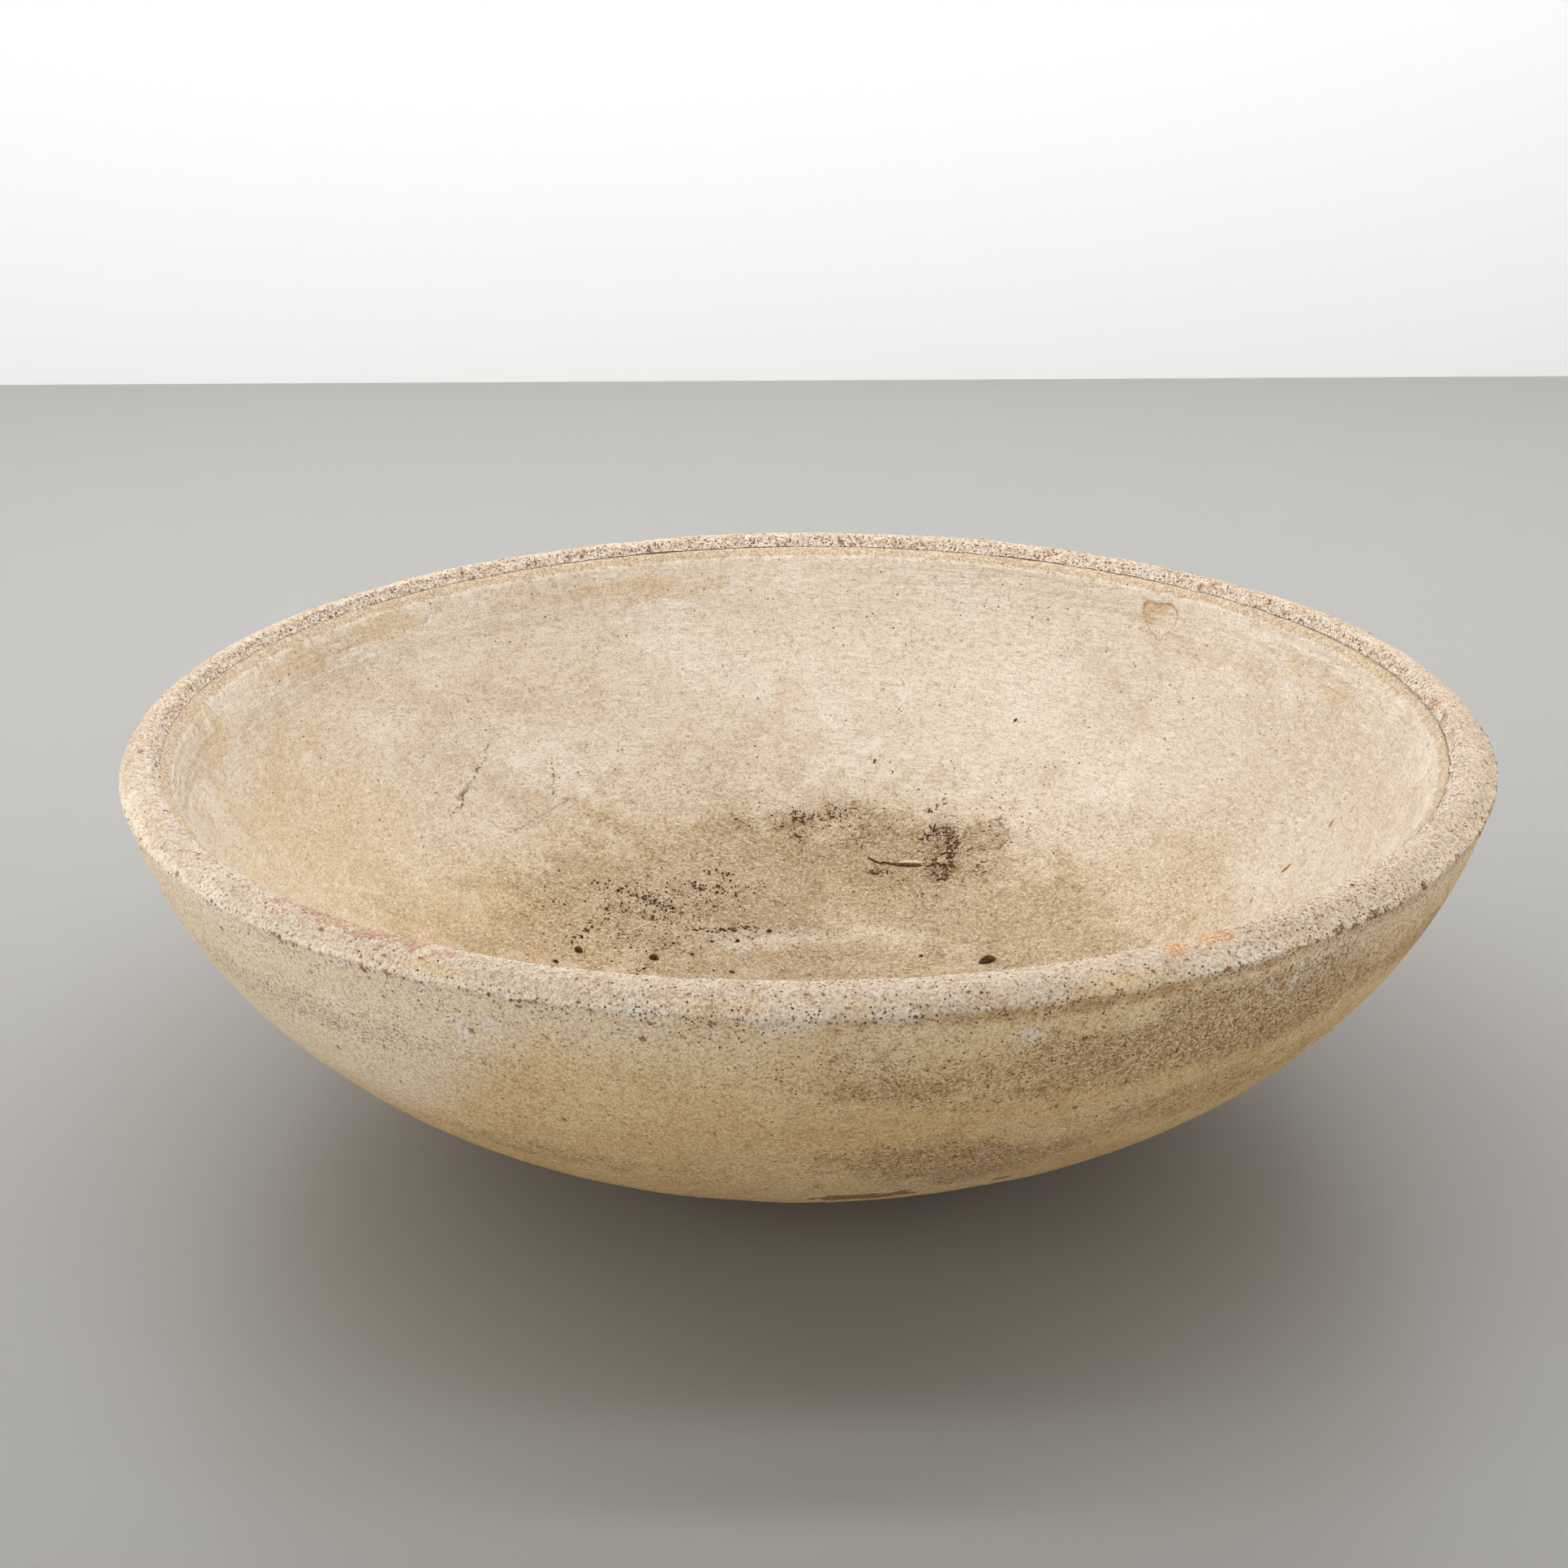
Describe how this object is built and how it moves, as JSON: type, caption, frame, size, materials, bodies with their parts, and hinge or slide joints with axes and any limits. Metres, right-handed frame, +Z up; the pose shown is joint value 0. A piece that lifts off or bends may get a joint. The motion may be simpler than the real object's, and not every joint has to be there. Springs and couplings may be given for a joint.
{
  "type": "concrete bowl planter",
  "caption": "Large round shallow bowl planter of coarse concrete, with a thick rounded rim, a smooth trowelled lining, a flat foot and a drain hole.",
  "frame": {"origin": "middle of the flat foot, on the floor", "axes": "+Z is up through the middle of the bowl; +X points to the side on which the rim is widest"},
  "size_m": [0.96, 0.96, 0.275],
  "materials": {
    "coarse_concrete": "coarse sandy concrete, weathered, matt",
    "lining_mortar": "smooth trowelled mortar, matt",
    "bar_steel": "plain bar, light rust",
    "tie_wire": "annealed wire, dull"
  },
  "bodies": {
    "root": {"bowl_shell": "coarse_concrete", "inner_lining": "lining_mortar", "rim_hoop": "bar_steel", "middle_hoop": "bar_steel", "base_hoop": "bar_steel", "rib_bar_1": "bar_steel", "rib_bar_2": "bar_steel", "rib_bar_3": "bar_steel", "rib_bar_4": "bar_steel", "rib_bar_5": "bar_steel", "rib_bar_6": "bar_steel", "rib_bar_7": "bar_steel", "rib_bar_8": "bar_steel", "rim_hoop_tie_1": "tie_wire", "rim_hoop_tie_3": "tie_wire", "rim_hoop_tie_5": "tie_wire", "rim_hoop_tie_7": "tie_wire", "middle_hoop_tie_2": "tie_wire", "middle_hoop_tie_4": "tie_wire", "middle_hoop_tie_6": "tie_wire", "middle_hoop_tie_8": "tie_wire", "base_hoop_tie_1": "tie_wire", "base_hoop_tie_3": "tie_wire", "base_hoop_tie_5": "tie_wire", "base_hoop_tie_7": "tie_wire"}
  },
  "joints": []
}
